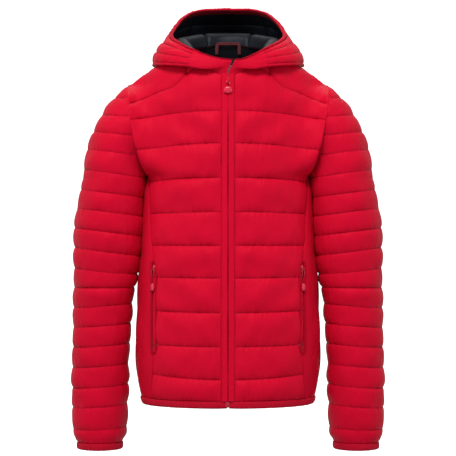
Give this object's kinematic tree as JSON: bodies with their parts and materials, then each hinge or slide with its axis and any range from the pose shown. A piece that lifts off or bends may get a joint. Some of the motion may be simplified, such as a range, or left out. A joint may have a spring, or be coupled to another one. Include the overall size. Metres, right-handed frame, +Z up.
{
  "type": "ski jacket",
  "caption": "Hooded quilted ski jacket standing open as if worn, with a full front zip, zipped side pockets, elastic hem and cuffs, and sleeves that swing out.",
  "frame": {"origin": "where a hook bears on the underside of the hanging loop, inside the back neck, on the centre plane", "axes": "+Z up with the jacket hanging upright, -Y out of the front, +X to the wearer's left; the left and right halves mirror each other about X = 0"},
  "size_m": [0.6214, 0.3078, 0.8946],
  "materials": {
    "shell_red": "quilted nylon taffeta, slight sheen",
    "binding_red": "matte elastic binding",
    "lining_black": "dark taffeta",
    "wadding_white": "polyester wadding",
    "tape_red": "woven zip tape",
    "teeth_red": "nylon coil",
    "slider_red": "painted zinc slider",
    "cord_red": "braided cord",
    "grip_red": "moulded soft grip",
    "box_plastic": "moulded retainer box and pin",
    "stop_metal": "crimped stops",
    "label_grey": "woven blank label",
    "label_white": "satin blank label"
  },
  "bodies": {
    "jacket_body": {"back_panel": "shell_red", "front_panel_left": "shell_red", "front_panel_right": "shell_red", "side_panel_left": "shell_red", "side_panel_right": "shell_red", "back_wadding": "wadding_white", "front_wadding_left": "wadding_white", "front_wadding_right": "wadding_white", "back_lining": "lining_black", "front_lining_left": "lining_black", "front_lining_right": "lining_black", "side_lining_left": "lining_black", "side_lining_right": "lining_black", "hem_binding": "binding_red", "sleeve_cap_left": "shell_red", "sleeve_cap_right": "shell_red", "hood_panel_left": "shell_red", "hood_panel_right": "shell_red", "hood_centre_panel": "shell_red", "hood_wadding": "wadding_white", "hood_lining": "lining_black", "hood_binding": "binding_red", "zip_tape_left": "tape_red", "zip_tape_right": "tape_red", "zip_teeth_left": "teeth_red", "zip_teeth_right": "teeth_red", "zip_top_stop_left": "stop_metal", "zip_top_stop_right": "stop_metal", "zip_box": "box_plastic", "zip_pin": "box_plastic", "zip_underflap": "tape_red", "pocket_tape_left": "tape_red", "pocket_tape_right": "tape_red", "pocket_teeth_left": "teeth_red", "pocket_teeth_right": "teeth_red", "pocket_bag_left": "lining_black", "pocket_bag_right": "lining_black", "hanging_loop": "shell_red", "neck_label": "label_grey", "care_label": "label_white"},
    "main_slider": {"main_slider": "slider_red"},
    "main_pull": {"main_pull_loop": "cord_red", "main_pull_grip": "grip_red"},
    "pocket_slider_left": {"pocket_slider_left": "slider_red"},
    "pocket_slider_right": {"pocket_slider_right": "slider_red"},
    "pocket_pull_left": {"pocket_pull_left": "cord_red"},
    "pocket_pull_right": {"pocket_pull_right": "cord_red"},
    "sleeve_left": {"sleeve_left": "shell_red", "sleeve_wadding_left": "wadding_white", "sleeve_lining_left": "lining_black", "cuff_binding_left": "binding_red"},
    "sleeve_right": {"sleeve_right": "shell_red", "sleeve_wadding_right": "wadding_white", "sleeve_lining_right": "lining_black", "cuff_binding_right": "binding_red"}
  },
  "joints": [
    {"name": "main_zip_slide", "type": "slide", "parent": "jacket_body", "child": "main_slider", "axis": [0, -0.037, -0.9993], "range_m": [0, 0.6]},
    {"name": "main_pull_swing", "type": "hinge", "parent": "main_slider", "child": "main_pull", "pos_m": [0, -0.15784, -0.08792], "axis": [-1, 0, 0], "range_deg": [0, 150]},
    {"name": "pocket_zip_slide_left", "type": "slide", "parent": "jacket_body", "child": "pocket_slider_left", "axis": [0, -0.0541, -0.9985], "range_m": [0, 0.15]},
    {"name": "pocket_zip_slide_right", "type": "slide", "parent": "jacket_body", "child": "pocket_slider_right", "axis": [0, -0.0541, -0.9985], "range_m": [0, 0.15]},
    {"name": "pocket_pull_swing_left", "type": "hinge", "parent": "pocket_slider_left", "child": "pocket_pull_left", "pos_m": [0.14749, -0.13166, -0.45288], "axis": [-0.7835, -0.6205, 0.0336], "range_deg": [0, 140]},
    {"name": "pocket_pull_swing_right", "type": "hinge", "parent": "pocket_slider_right", "child": "pocket_pull_right", "pos_m": [-0.14749, -0.13166, -0.45288], "axis": [-0.7835, 0.6205, -0.0336], "range_deg": [0, 140]},
    {"name": "sleeve_swing_left", "type": "hinge", "parent": "jacket_body", "child": "sleeve_left", "pos_m": [0.228, -0.05745, -0.274], "axis": [0, -1, 0], "range_deg": [0, 35]},
    {"name": "sleeve_swing_right", "type": "hinge", "parent": "jacket_body", "child": "sleeve_right", "pos_m": [-0.228, -0.05745, -0.274], "axis": [0, 1, 0], "range_deg": [0, 35]}
  ]
}
